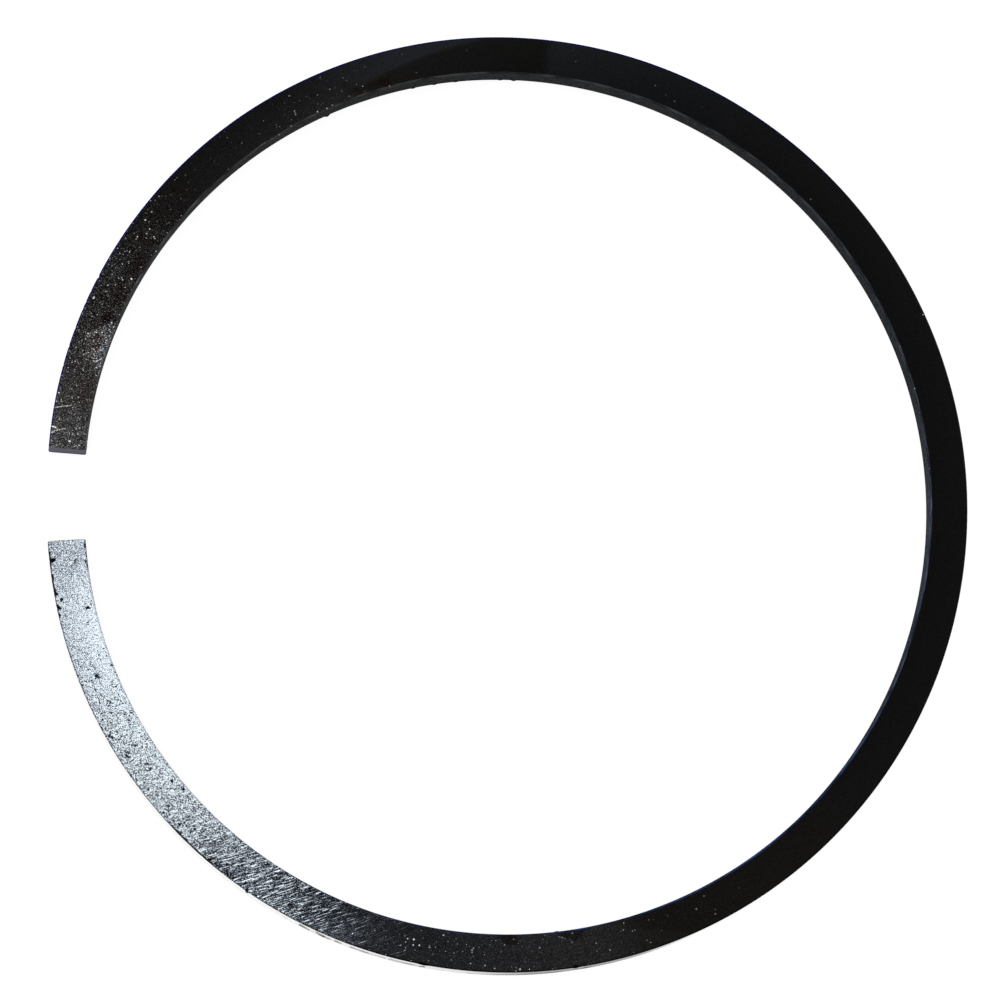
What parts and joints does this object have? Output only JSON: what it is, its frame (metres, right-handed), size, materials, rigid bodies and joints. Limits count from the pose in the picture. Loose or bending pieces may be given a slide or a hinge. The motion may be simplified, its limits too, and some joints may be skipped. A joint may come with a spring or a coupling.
{
  "type": "metal seal ring",
  "caption": "Split metal seal ring of rectangular section, free and sprung open, that closes into a bore to seal a shaft or piston groove.",
  "frame": {"origin": "middle of the free ring's outline, on its lower side face", "axes": "+Z out of the upper side face, +X away from the end gap, which is at -X; the ring is the same on both sides of the XZ plane"},
  "size_m": [0.1166, 0.1198, 0.004],
  "materials": {
    "ring_metal": "lapped dark side faces, ground bright at the lower end and on the outer face, small pits and specks"
  },
  "bodies": {
    "root": {"seal_ring": "ring_metal"}
  },
  "joints": []
}
